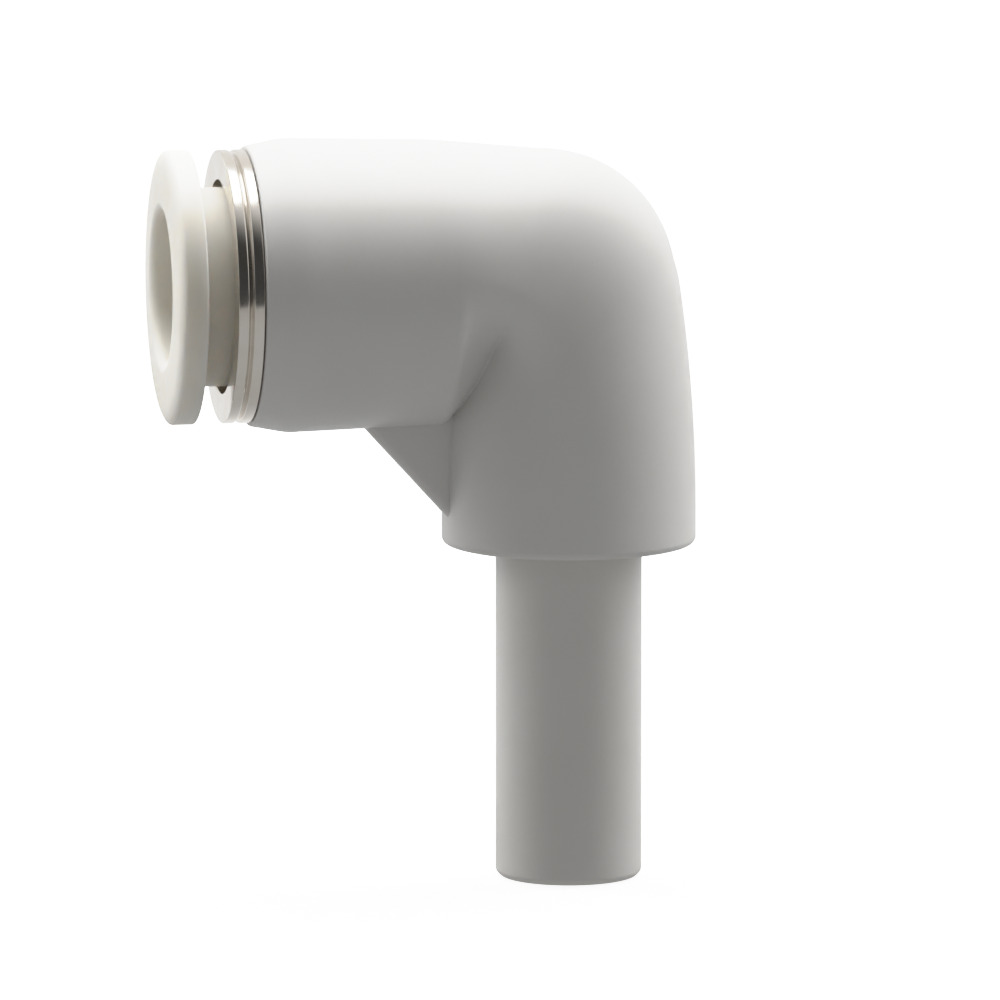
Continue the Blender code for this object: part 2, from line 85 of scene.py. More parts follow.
# Elbow, outside.  Heights with an H are counted from the barrel's axis.
MOUTH_X = ELBOW_LOW.x
BARREL_R = ELBOW_HIGH.z - AXIS_Z
BARREL_END_R = 7.75 * MM
MOUTH_R = 7.64 * MM
MOUTH_TAPER = 2.0 * MM
MOUTH_EDGE = 0.15 * MM
SHOULDER_X = -7.15 * MM
SHOULDER_SLOPE = 1.1
NECK_R = 5.85 * MM
BOSS_R = ELBOW_HIGH.x
NECK_H = 1.1 * MM
BOSS_H = -12.7 * MM
CORNER_R = 7.45 * MM
CORNER_H = -0.27 * MM
CORNER_X = NECK_R - CORNER_R
PIVOT_X = -7.35 * MM
PIVOT_H = -8.1 * MM
BOSS_FOOT_H = ELBOW_LOW.z - AXIS_Z
FOOT_FILLET = 0.4 * MM
EDGE_BLEND = 0.3 * MM
SEAM_HEIGHT = 0.02 * MM  # the line left where the mould's two halves met
SEAM_HALF_ANGLE = 0.8  # degrees
SECTION_STEP = 1.25  # degrees between the points round the elbow's skin
BEND_REACH = 16.0 * MM  # the bend's outline is looked for out to here
BEND_HALVINGS = 40
RAY_START, RAY_END, RAY_SAMPLES = 0.2 * MM, 12.0 * MM, 1200
WIDTH_TURN = 60.0  # degrees of the bend over which the barrel's width becomes the upright's
FLANK_START, FLANK_SPAN = 80.0, 45.0  # degrees round a section where its halves blend

# Rib in the inner corner
RIB_THICK = 2.7 * MM
RIB_START = (-11.35 * MM, -7.87 * MM)
RIB_END = (-7.05 * MM, -12.6 * MM)
RIB_ROOT_H = -7.2 * MM
RIB_ROOT_X = -6.2 * MM
RIB_EDGE_R = 0.4 * MM
RIB_DEPTH_SHARE = 0.96  # of the way from the free edge to the root corner

# Elbow, inside
SOCKET_R = 6.45 * MM
SOCKET_END_X = -8.6 * MM
TUBE_BORE_R = 4.1 * MM
TUBE_STOP_X = -4.1 * MM
PASSAGE_R = 3.0 * MM
STEM_SOCKET_R = BUSH_HIGH.x + 0.05 * MM
STEM_SOCKET_TOP = 22.75 * MM
SPIGOT_BORE_R = 4.7 * MM
SPIGOT_BORE_TOP = STEM_HIGH.z + CLEARANCE

# Stem
STEM_BORE_R = 3.0 * MM
STEM_CHAMFER = 0.3 * MM
COLLAR_R = STEM_HIGH.x
COLLAR_BOTTOM = BUSH_HIGH.z + CLEARANCE
SPIGOT_R = 4.55 * MM
GROOVE_R = 3.75 * MM
BUSH_BORE_R = 4.15 * MM

# Guide ring
RING_R = RING_HIGH.y
RING_LIP_R = 5.8 * MM
RING_LIP_THICK = 0.85 * MM
RING_SLEEVE_R = 6.4 * MM
RING_BORE_R = 6.1 * MM
RING_GROOVE_DEPTH = 0.3 * MM
RING_GROOVE_WIDTH = 0.16 * MM

# Release button
BUTTON_R = BUTTON_HIGH.y
BUTTON_BACK_X = -20.85 * MM
BUTTON_CROWN = 0.08 * MM
BUTTON_EDGE = 1.1 * MM
BUTTON_EDGE_DEPTH = 0.4 * MM
BUTTON_BELL_R = 0.55 * MM  # rounding of the bore's mouth
SKIRT_R = 5.4 * MM
BARB_R = 6.0 * MM
BARB_LENGTH = 0.75 * MM
BARB_FLAT = 0.25 * MM
NOSE_R = 4.5 * MM
NOSE_LEAN = radians(55.0)  # slope of the nose: that of the opened claws

# Chuck
CLAWS = 12
CHUCK_X = (RIM_LOW.x + RIM_HIGH.x) / 2.0
CHUCK_THICK = RIM_HIGH.x - RIM_LOW.x
CLAW_ROOT_R = 5.75 * MM
CLAW_LENGTH = 2.54 * MM
CLAW_SLOT = 0.35 * MM
CLAW_START = 0.12 * MM  # from the bend line to the claw's root
CLAW_BITE = 0.15 * MM  # slope at the tip that bites the tube
CLAW_EDGE = 0.03 * MM  # width of its broken edges
CLAW_RELIEF = 0.26 * MM  # narrowing of each side at the root
CLAW_REST = radians(38.5)
CLAW_BOW_R = 7.2 * MM  # the claws are pressed to a cone, so each is bowed across

# Camera and light
VIEW_AZIMUTH = radians(-9.6)
VIEW_ELEVATION = radians(8.5)
VIEW_DISTANCE = 700.0 * MM
VIEW_LENS = 462.7  # millimetres, on the default 36 mm sensor
AIM = Vector((-3.94 * MM, -0.80 * MM, 20.945 * MM))
FRONT = Vector((sin(VIEW_AZIMUTH), -cos(VIEW_AZIMUTH), 0.0))
PALE = 2.4  # radiance of the floor and of what is behind it, as the camera sees it
ROOM = 0.33  # radiance of the room in front
ARCH = 9.9  # and of the arch of light over the object
ARCH_FULL = 0.24  # the arch is full this far behind straight up, as a sine
ARCH_FADE = (0.3, 0.65)  # and it fades between these
ARCH_BACK = 0.12  # share of that light left behind the fade
ARCH_RISE = 0.5  # height, as a sine, from which the arch is full
ARCH_FOOT = 0.05  # share of that light where the arch meets the floor
OVERHEAD = 1.2
OVERHEAD_SPREAD = radians(40)
OVERHEAD_LEAN = radians(12)
FLOOR_BOUNCE = 0.37
FLOOR_LIT = 1.3  # what the light on the floor adds to its own glow
MIRROR_WHITE = 1.15  # what shiny metal sees: the ceiling, the dark room, the floor
MIRROR_DARK = 0.06
MIRROR_FLOOR = 0.45
MIRROR_BEHIND = 0.9  # and the floor behind the object
MIRROR_CEILING_END = -0.72  # how far forward, as a sine, the white ceiling fades out
BEHIND_SPAN = 40.0 * MM  # the floor behind brightens over this distance
FLOOR_EDGE = 185.0 * MM  # where the floor ends for the metal, in front of the object


# --- Meshes -----------------------------------------------------------------------
def add_object(name, bm):
    """Turn a bmesh into a named, smooth-shaded object."""
    bmesh.ops.recalc_face_normals(bm, faces=bm.faces)
    mesh = bpy.data.meshes.new(name)
    bm.to_mesh(mesh)
    bm.free()
    mesh.shade_smooth()
    mesh.set_sharp_from_angle(angle=SHARP_ANGLE)
    made = bpy.data.objects.new(name, mesh)
    bpy.context.scene.collection.objects.link(made)
    return made


def arc(centre_a, centre_r, radius, start, end, points):
    """Points along an arc in the plane of a turned profile, angles in degrees."""
    steps = [start + (end - start) * i / (points - 1) for i in range(points)]
    return [
        (centre_a + radius * cos(radians(t)), centre_r + radius * sin(radians(t)))
        for t in steps
    ]


def soften(profile, radius, cuts=4):
    """Round each real corner of a closed profile."""
    corners = [Vector(point) for point in profile]
    rounded = []
    for i, corner in enumerate(corners):
        back = corners[i - 1] - corner
        ahead = corners[(i + 1) % len(corners)] - corner
        if back.angle(ahead) > NEARLY_STRAIGHT:
            rounded.append(tuple(corner))
            continue
        reach = min(radius, SIDE_SHARE * back.length, SIDE_SHARE * ahead.length)
        start = corner + back.normalized() * reach
        end = corner + ahead.normalized() * reach
        for k in range(cuts + 1):
            t = k / cuts
            point = start * (1 - t) ** 2 + corner * 2 * t * (1 - t) + end * t * t
            rounded.append(tuple(point))
    return rounded


def turned(name, profile, about, steps=FINE_STEPS):
    """Spin a closed profile of (distance along the axis, radius) into a solid.

    `about` is "barrel" for the barrel's axis or "stem" for the stem's.
    """
    bm = bmesh.new()
    if about == "barrel":
        centre, axis = AXIS, ALONG_X
        points = [AXIS + Vector((a, 0.0, r)) for a, r in profile]
    else:
        centre, axis = Vector(), ALONG_Z
        points = [Vector((r, 0.0, a)) for a, r in profile]
    corners = [bm.verts.new(p) for p in points]
    edges = [bm.edges.new((a, b)) for a, b in zip(corners, corners[1:] + corners[:1])]
    bmesh.ops.spin(
        bm,
        geom=corners + edges,
        cent=centre,
        axis=axis,
        angle=2.0 * pi,
        steps=steps,
        use_merge=True,
    )
    bmesh.ops.remove_doubles(bm, verts=bm.verts, dist=1e-7)
    return add_object(name, bm)


def combine(target, other, operation):
    """Apply a Boolean of another object to target, and remove the other object."""
    boolean = target.modifiers.new(operation, "BOOLEAN")
    boolean.operation = operation
    boolean.solver = "EXACT"
    boolean.object = other
    graph = bpy.context.evaluated_depsgraph_get()
    result = bpy.data.meshes.new_from_object(target.evaluated_get(graph))
    target.modifiers.clear()
    target.data = result
    bpy.data.objects.remove(other)
    result.shade_smooth()
    result.set_sharp_from_angle(angle=SHARP_ANGLE)


def stand_for(piece, node):
    """Let a fine piece take a CAD node's place, body, slot and material."""
    slot = SLOT_OF[node]
    piece.data.materials.clear()
    piece.data.materials.append(FINISHES[slot])
    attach(piece, BODY_OF[node])
    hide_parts(node)


def smooth_step(value):
    value = np.clip(value, 0.0, 1.0)
    return value * value * (3.0 - 2.0 * value)


def smooth_max(a, b, blend):
    share = np.clip(0.5 + 0.5 * (a - b) / blend, 0.0, 1.0)
    return b + (a - b) * share + blend * share * (1.0 - share)


def smooth_min(a, b, blend):
    return -smooth_max(-a, -b, blend)


# --- Elbow, outside ---------------------------------------------------------------
def upright_radius(height):
    """Radius of the upright part: it flares gently from the bend to its foot."""
    down = np.clip((NECK_H - height) / (NECK_H - BOSS_H), 0.0, 1.0)
    return NECK_R + (BOSS_R - NECK_R) * (1.0 - (1.0 - down) ** 2)


def barrel_radius(x):
    """Radius of the barrel with the shoulder that ends it."""
    shoulder = BARREL_END_R - SHOULDER_SLOPE * (x - SHOULDER_X)
    return smooth_min(BARREL_END_R + 0.0 * x, shoulder, EDGE_BLEND)


def side_outline(x, height):
    """Negative inside the elbow's outer outline, seen from the side."""
    flare = upright_radius(height) - NECK_R
    lift = (BARREL_END_R - CORNER_H - CORNER_R) * np.clip(
        (CORNER_X - x) / (CORNER_X - PIVOT_X), 0.0, 1.0
    )
    right = max(x - CORNER_X - flare, 0.0)
    up = max(height - CORNER_H - lift, 0.0)
    return hypot(right, up) - CORNER_R


def last_inside(field, reach):
    """Distance along each ray at which it last leaves the field's inside."""
    inside = field <= 0.0
    last = inside.shape[-1] - 1 - np.argmax(inside[..., ::-1], axis=-1)
    last = np.minimum(last, inside.shape[-1] - 2)
    here = np.take_along_axis(field, last[..., None], axis=-1)[..., 0]
    after = np.take_along_axis(field, last[..., None] + 1, axis=-1)[..., 0]
    step = reach[1] - reach[0]
    change = np.where(after == here, 1.0, after - here)
    found = reach[last] + step * np.clip(-here / change, 0.0, 1.0)
    return np.where(inside.any(axis=-1), found, 0.0)


def bend_section(angle, rays):
    """One ring of points around the bend, in a plane turned about the inner corner.

    The outer half is an ellipse that reaches the side outline.  The inner half is
    where the barrel's shoulder and the upright part meet, and the two halves blend
    across the flank.
    """
    out = np.array([sin(angle), cos(angle)])
    to_centre = -PIVOT_H * cos(angle) ** 2 - PIVOT_X * sin(angle) ** 2
    centre = np.array([PIVOT_X, PIVOT_H]) + to_centre * out

    near, far = 0.0, BEND_REACH
    for _ in range(BEND_HALVINGS):
        middle = (near + far) / 2.0
        if side_outline(*(centre + middle * out)) < 0.0:
            near = middle
        else:
            far = middle
    height = near
    turn = smooth_step(degrees(angle) / WIDTH_TURN)
    half_width = BARREL_END_R + (upright_radius(centre[1]) - BARREL_END_R) * turn
    outer = 1.0 / np.hypot(np.cos(rays) / height, np.sin(rays) / half_width)

    reach = np.linspace(RAY_START, RAY_END, RAY_SAMPLES)
    run = np.cos(rays)[:, None] * reach
    y = np.sin(rays)[:, None] * reach
    x = centre[0] + run * out[0]
    h = centre[1] + run * out[1]
    to_barrel = last_inside(np.hypot(y, h) - barrel_radius(x), reach)
    to_upright = last_inside(np.hypot(x, y) - upright_radius(h), reach)
    inner = smooth_max(to_barrel, to_upright, EDGE_BLEND)

    off_top = np.degrees(np.abs((rays + pi) % (2.0 * pi) - pi))
    share = smooth_step((off_top - FLANK_START) / FLANK_SPAN)
    distance = outer + (inner - outer) * share + mould_seam(rays)
    run = distance * np.cos(rays)
    return [
        Vector((centre[0] + r * out[0], w, AXIS_Z + centre[1] + r * out[1]))
        for r, w in zip(run, distance * np.sin(rays))
    ]


def mould_seam(rays):
    """Height of the mould's parting line, which runs round the plane of symmetry."""
    off_seam = np.degrees(np.abs((rays + pi / 2.0) % pi - pi / 2.0))
    return SEAM_HEIGHT * (1.0 - smooth_step(off_seam / SEAM_HALF_ANGLE))


def section_rays():
    """Ray angles around a section: even, with a few more beside the parting line."""
    even = np.arange(0.0, 360.0, SECTION_STEP)
    beside = [side + off for side in (0.0, 180.0) for off in (-0.8, -0.4, 0.4, 0.8)]
    return np.radians(np.unique(np.concatenate([even, np.array(beside) % 360.0])))


def barrel_stations():
    """(x, radius) of the barrel's rings, from the mouth face to the bend."""
    taper_end = MOUTH_X + MOUTH_TAPER
    draft = (BARREL_END_R - BARREL_R) / (SHOULDER_X - taper_end)
    edge_x, edge_r = MOUTH_X + MOUTH_EDGE, MOUTH_R - MOUTH_EDGE
    stations = arc(edge_x, edge_r, MOUTH_EDGE, 180.0, 98.0, 6)
    entry = (MOUTH_R - BARREL_R) / (edge_x - taper_end)
    for x in np.linspace(edge_x, taper_end + 1.0 * MM, 14)[1:]:
        rising = MOUTH_R + entry * (x - edge_x)
        straight = BARREL_R + draft * (x - taper_end)
        stations.append((x, float(smooth_min(rising, straight, 0.08 * MM))))
    for x in np.linspace(taper_end + 1.0 * MM, SHOULDER_X - 0.5 * MM, 16)[1:]:
        stations.append((x, BARREL_R + draft * (x - taper_end)))
    return stations


def upright_stations():
    """(height, radius) of the rings below the bend, down to the foot."""
    plain = np.linspace(PIVOT_H - 0.25 * MM, BOSS_FOOT_H + 1.0 * MM, 14)
    stations = [(h, float(upright_radius(h))) for h in plain]
    centre_h, centre_r = BOSS_FOOT_H + FOOT_FILLET, BOSS_R - FOOT_FILLET
    for turn in np.linspace(0.0, 90.0, 9):
        drop = FOOT_FILLET * sin(radians(turn))
        stations.append((centre_h - drop, centre_r + FOOT_FILLET * cos(radians(turn))))
    return stations


def bend_angles():
    """Section angles in degrees, closest at the shoulder and at the crease."""
    spans = ((0.0, 6.0, 0.3), (6.0, 20.0, 1.0), (20.0, 34.0, 0.4), (34.0, 60.0, 1.0))
    fine = [np.arange(low, high, step) for low, high, step in spans]
    return np.concatenate(fine + [np.linspace(60.0, 90.0, 21)])


def elbow_skin():
    """The elbow's outside as one closed skin of rings, without bores."""
    rays = section_rays()
    seam = mould_seam(rays)
    rings = []
    for x, radius in barrel_stations():
        reach = radius + seam
        rings.append(
            [AXIS + Vector((x, r * sin(t), r * cos(t))) for r, t in zip(reach, rays)]
        )
    rings += [bend_section(radians(angle), rays) for angle in bend_angles()]
    for h, radius in upright_stations():
        reach = radius + seam
        rings.append(
            [AXIS + Vector((r * cos(t), r * sin(t), h)) for r, t in zip(reach, rays)]
        )
    bm = bmesh.new()
    grid = [[bm.verts.new(point) for point in ring] for ring in rings]
    for ring, after in zip(grid, grid[1:]):
        for i in range(len(ring)):
            j = (i + 1) % len(ring)
            bm.faces.new((ring[i], ring[j], after[j], after[i]))
    bm.faces.new(grid[0])
    bm.faces.new(grid[-1])
    return add_object("fine_elbow_body", bm)


def rib_half_thickness(depth):
    """Half the rib's thickness at a depth below its free edge, which is rounded."""
    edge = max(RIB_EDGE_R - depth, 0.0)
    return RIB_THICK / 2.0 - RIB_EDGE_R + (RIB_EDGE_R**2 - edge**2) ** 0.5


def rib():
    """The triangular web in the inner corner, lofted from its free edge inwards."""
    fall = (RIB_END[1] - RIB_START[1]) / (RIB_END[0] - RIB_START[0])
    start = Vector((RIB_START[0] + (RIB_ROOT_H - RIB_START[1]) / fall, RIB_ROOT_H))
    end = Vector((RIB_ROOT_X, RIB_END[1] + fall * (RIB_ROOT_X - RIB_END[0])))
    root = Vector((RIB_ROOT_X, RIB_ROOT_H))
    inwards = Vector((end.y - start.y, start.x - end.x)).normalized()
    if inwards.dot(root - start) < 0.0:
        inwards.negate()
    deepest = inwards.dot(root - start)
    rounded = [RIB_EDGE_R * (1.0 - cos(radians(t))) for t in range(0, 91, 15)]
    depths = rounded + [RIB_DEPTH_SHARE * deepest]
    bm = bmesh.new()
    loops = []
    for depth in depths:
        share = depth / deepest
        low, high = start.lerp(root, share), end.lerp(root, share)
        half = rib_half_thickness(depth)
        around = ((low, -half), (high, -half), (high, half), (low, half))
        loops.append([bm.verts.new((p.x, y, AXIS_Z + p.y)) for p, y in around])
    for loop, after in zip(loops, loops[1:]):
        for i in range(len(loop)):
            j = (i + 1) % len(loop)
            bm.faces.new((loop[i], loop[j], after[j], after[i]))
    bm.faces.new(loops[0])
    bm.faces.new(loops[-1])
    return add_object("rib", bm)


# --- Elbow, inside ----------------------------------------------------------------
def barrel_bore():
    """Cutter for the socket, the tube's bore and the passage to the stem."""
    lead = 0.25 * MM
    profile = [
        (MOUTH_X - OVERSHOOT, 0.0),
        (MOUTH_X - OVERSHOOT, SOCKET_R + lead + OVERSHOOT),
        (MOUTH_X + lead, SOCKET_R),
        (SOCKET_END_X, SOCKET_R),
        (SOCKET_END_X, TUBE_BORE_R + lead),
        (SOCKET_END_X + lead, TUBE_BORE_R),
        (TUBE_STOP_X, TUBE_BORE_R),
        (TUBE_STOP_X, PASSAGE_R),
        (0.0, PASSAGE_R),
        (0.0, 0.0),
    ]
    return turned("barrel_bore", profile, "barrel", INNER_STEPS)


def upright_bore():
    """Cutter for the stem's socket and the passage, with a domed top."""
    ball_r = PASSAGE_R + 0.12 * MM
    lead = 0.12 * MM
    foot = ELBOW_LOW.z
    profile = [
        (foot - OVERSHOOT, 0.0),
        (foot - OVERSHOOT, STEM_SOCKET_R + lead + OVERSHOOT),
        (foot + lead, STEM_SOCKET_R),
        (STEM_SOCKET_TOP, STEM_SOCKET_R),
        (STEM_SOCKET_TOP, SPIGOT_BORE_R),
        (SPIGOT_BORE_TOP, SPIGOT_BORE_R),
        (SPIGOT_BORE_TOP, ball_r),
    ]
    profile += [(AXIS_Z + a, r) for a, r in arc(0.0, 0.0, ball_r, 90.0, 0.0, 19)[:-1]]
    profile += [(AXIS_Z + ball_r, 0.0)]
    return turned("upright_bore", profile, "stem", INNER_STEPS)


def elbow_body():
    """The moulding: its skin and rib joined, and the bores cut out."""
    body = elbow_skin()
    combine(body, rib(), "UNION")
    combine(body, barrel_bore(), "DIFFERENCE")
    combine(body, upright_bore(), "DIFFERENCE")
    stand_for(body, "elbow_body")


# --- Stem and what holds it -------------------------------------------------------
def plug_stem():
    """Stem with the collar that holds it in the elbow and the O-ring's groove."""
    groove_low = O_RING_LOW.z - CLEARANCE
    groove_high = O_RING_HIGH.z + CLEARANCE
    collar_top = STEM_SOCKET_TOP - CLEARANCE
    profile = [
        (STEM_LOW.z, STEM_BORE_R),
        (STEM_LOW.z, TUBE_R - STEM_CHAMFER),
        (STEM_CHAMFER, TUBE_R),
        (COLLAR_BOTTOM, TUBE_R),
        (COLLAR_BOTTOM, COLLAR_R),
        (collar_top, COLLAR_R),
        (collar_top, SPIGOT_R),
        (groove_low, SPIGOT_R),
        (groove_low, GROOVE_R),
        (groove_high, GROOVE_R),
        (groove_high, SPIGOT_R),
        (STEM_HIGH.z - STEM_CHAMFER, SPIGOT_R),
        (STEM_HIGH.z, SPIGOT_R - STEM_CHAMFER),
        (STEM_HIGH.z, STEM_BORE_R),
    ]
    stem = turned("fine_plug_stem", soften(profile, 0.12 * MM), "stem")
    stand_for(stem, "plug_stem")


def stem_o_ring():
    middle_z = (O_RING_LOW.z + O_RING_HIGH.z) / 2.0
    half_z = (O_RING_HIGH.z - O_RING_LOW.z) / 2.0
    inner, outer = GROOVE_R + 0.03 * MM, O_RING_HIGH.x
    middle, half = (inner + outer) / 2.0, (outer - inner) / 2.0
    turns = [2.0 * pi * i / 32 for i in range(32)]
    profile = [(middle_z + half_z * cos(t), middle + half * sin(t)) for t in turns]
    stand_for(turned("fine_stem_o_ring", profile, "stem", INNER_STEPS), "stem_o_ring")


def stem_bush():
    """Ring pressed into the elbow's foot, under the stem's collar."""
    lead = 0.2 * MM
    profile = [
        (BUSH_LOW.z, BUSH_BORE_R + lead),
        (BUSH_LOW.z, BUSH_HIGH.x),
        (BUSH_HIGH.z - lead, BUSH_HIGH.x),
        (BUSH_HIGH.z, BUSH_HIGH.x - lead),
        (BUSH_HIGH.z, BUSH_BORE_R),
        (BUSH_LOW.z + lead, BUSH_BORE_R),
    ]
    bush = turned("fine_stem_bush", soften(profile, 0.08 * MM), "stem")
    stand_for(bush, "stem_bush")


# --- Tube port --------------------------------------------------------------------
def guide_ring():
    """Plated ring pressed into the mouth: two ridges outside, a sleeve inside."""
    front, back = RING_LOW.x, MOUTH_X - CLEARANCE / 2.0
    middle = (front + back) / 2.0
    inner_x = front + RING_LIP_THICK
    profile = [
        (front, RING_LIP_R),
        (front, RING_R),
        (middle - RING_GROOVE_WIDTH, RING_R),
        (middle, RING_R - RING_GROOVE_DEPTH),
        (middle + RING_GROOVE_WIDTH, RING_R),
        (back, RING_R),
        (back, RING_SLEEVE_R),
        (RING_HIGH.x, RING_SLEEVE_R),
        (RING_HIGH.x, RING_BORE_R),
        (inner_x, RING_BORE_R),
        (inner_x, RING_LIP_R),
    ]
    ring = turned("fine_guide_ring", soften(profile, 0.09 * MM, cuts=5), "barrel")
    stand_for(ring, "guide_ring")


def release_button():
    """Button with a rounded flange, a skirt with a barb, and a tapered nose."""
    edge_x = BUTTON_LOW.x + BUTTON_CROWN + BUTTON_EDGE_DEPTH
    barb_x = RING_LOW.x + RING_LIP_THICK + CLEARANCE
    nose_x = BUTTON_HIGH.x
    bell = BUTTON_BELL_R
    profile = arc(BUTTON_LOW.x + bell, TUBE_BORE_R + bell, bell, 270.0, 180.0, 12)
    for turn in np.linspace(0.0, 90.0, 13):
        depth = BUTTON_EDGE_DEPTH * cos(radians(turn))
        reach = BUTTON_EDGE * (1.0 - sin(radians(turn)))
        profile.append((edge_x - depth, BUTTON_R - reach))
    profile += [
        (BUTTON_BACK_X, BUTTON_R),
        (BUTTON_BACK_X, SKIRT_R),
        (barb_x, SKIRT_R),
        (barb_x, BARB_R),
        (barb_x + BARB_FLAT, BARB_R),
        (barb_x + BARB_LENGTH, SKIRT_R),
        (nose_x - (SKIRT_R - NOSE_R) * tan(NOSE_LEAN), SKIRT_R),
        (nose_x, NOSE_R),
        (nose_x, TUBE_BORE_R),
    ]
    button = turned("fine_release_button", soften(profile, 0.1 * MM), "barrel")
    stand_for(button, "release_button")


def chuck_rim():
    """Flat rim of the spring ring, which the claws stand on."""
    inner, outer = CLAW_ROOT_R + CLEARANCE, RIM_HIGH.y
    profile = [
        (RIM_LOW.x, inner),
        (RIM_LOW.x, outer),
        (RIM_HIGH.x, outer),
        (RIM_HIGH.x, inner),
    ]
    rim = turned("fine_chuck_rim", soften(profile, 0.05 * MM), "barrel", INNER_STEPS)
    stand_for(rim, "chuck_rim")


def chuck_claw(number):
    """One stamped claw, bowed across as a piece of a cone, with broken edges.

    It narrows at its root, so that the corners there clear the rim as it bends.
    """
    pitch = 2.0 * pi / CLAWS
    start, tip = CLAW_START, CLAW_LENGTH
    half = CHUCK_THICK / 2.0
    steps = [start + (tip - start) * k / 8 for k in range(8)]
    outline = [(a, -half) for a in steps[:2]]
    outline += [(tip - CLAW_BITE, -half), (tip, CLAW_BITE - half), (tip, half)]
    outline += [(a, half) for a in reversed(steps)]

    def place(along, share, up):
        radius = CLAW_ROOT_R - along * cos(CLAW_REST)
        relief = CLAW_RELIEF * max(0.0, (steps[1] - along) / (steps[1] - start))
        width = share * (radius * tan(pitch / 2.0) - CLAW_SLOT / 2.0 - relief)
        return (along, width, up + width * width / (2.0 * CLAW_BOW_R))

    bm = bmesh.new()
    shares = np.linspace(-1.0, 1.0, 13)
    loops = [[bm.verts.new(place(a, s, u)) for a, u in outline] for s in shares]
    for loop, after in zip(loops, loops[1:]):
        for i in range(len(loop)):
            j = (i + 1) % len(loop)
            bm.faces.new((loop[i], loop[j], after[j], after[i]))
    bm.faces.new(loops[0])
    bm.faces.new(loops[-1])
    made = add_object(f"fine_chuck_claw_{number:02d}", bm)

    edges = made.modifiers.new("broken edges", "BEVEL")
    edges.width = CLAW_EDGE
    edges.segments = 2
    edges.limit_method = "ANGLE"
    edges.angle_limit = radians(40)

    turn = number * pitch
    outwards = Vector((0.0, cos(turn), sin(turn)))
    across = Vector((0.0, -sin(turn), cos(turn)))
    along = sin(CLAW_REST) * ALONG_X - cos(CLAW_REST) * outwards
    root = AXIS + CHUCK_X * ALONG_X + CLAW_ROOT_R * outwards
    lean = Matrix((along, across, along.cross(across))).transposed().to_4x4()
    made.matrix_world = Matrix.Translation(root) @ lean
    bpy.context.view_layer.update()
    stand_for(made, f"chuck_claw_{number:02d}")


def seal_spacer():
    """Cup-shaped ring that keeps the claws off the seal."""
    outer, bore, hole = SPACER_HIGH.y, 5.95 * MM, TUBE_BORE_R + CLEARANCE
    web_x = SPACER_HIGH.x - 0.45 * MM
    profile = [
        (SPACER_LOW.x, bore),
        (SPACER_LOW.x, outer),
        (SPACER_HIGH.x, outer),
        (SPACER_HIGH.x, hole),
        (web_x, hole),
        (web_x, bore),
    ]
    spacer = turned("fine_seal_spacer", soften(profile, 0.08 * MM), "barrel", INNER_STEPS)
    stand_for(spacer, "seal_spacer")


def lip_seal():
    """Rubber seal: a heel against the spacer and two lips towards the pressure."""
    front, back, outer = SEAL_LOW.x, SEAL_HIGH.x, SEAL_HIGH.y
    lip_r, heel_r = 3.8 * MM, 4.9 * MM
    profile = [
        (front, heel_r),
        (front, outer),
        (back, outer),
        (back, outer - 0.45 * MM),
        (back - 0.85 * MM, 5.35 * MM),
        (back - 0.8 * MM, 4.95 * MM),
        (back - 0.25 * MM, lip_r + 0.3 * MM),
        (back - 0.3 * MM, lip_r),
        (back - 0.65 * MM, lip_r + 0.02 * MM),
        (front + 0.55 * MM, 4.45 * MM),
    ]
    seal = turned("fine_lip_seal", soften(profile, 0.1 * MM), "barrel", INNER_STEPS)
    stand_for(seal, "lip_seal")


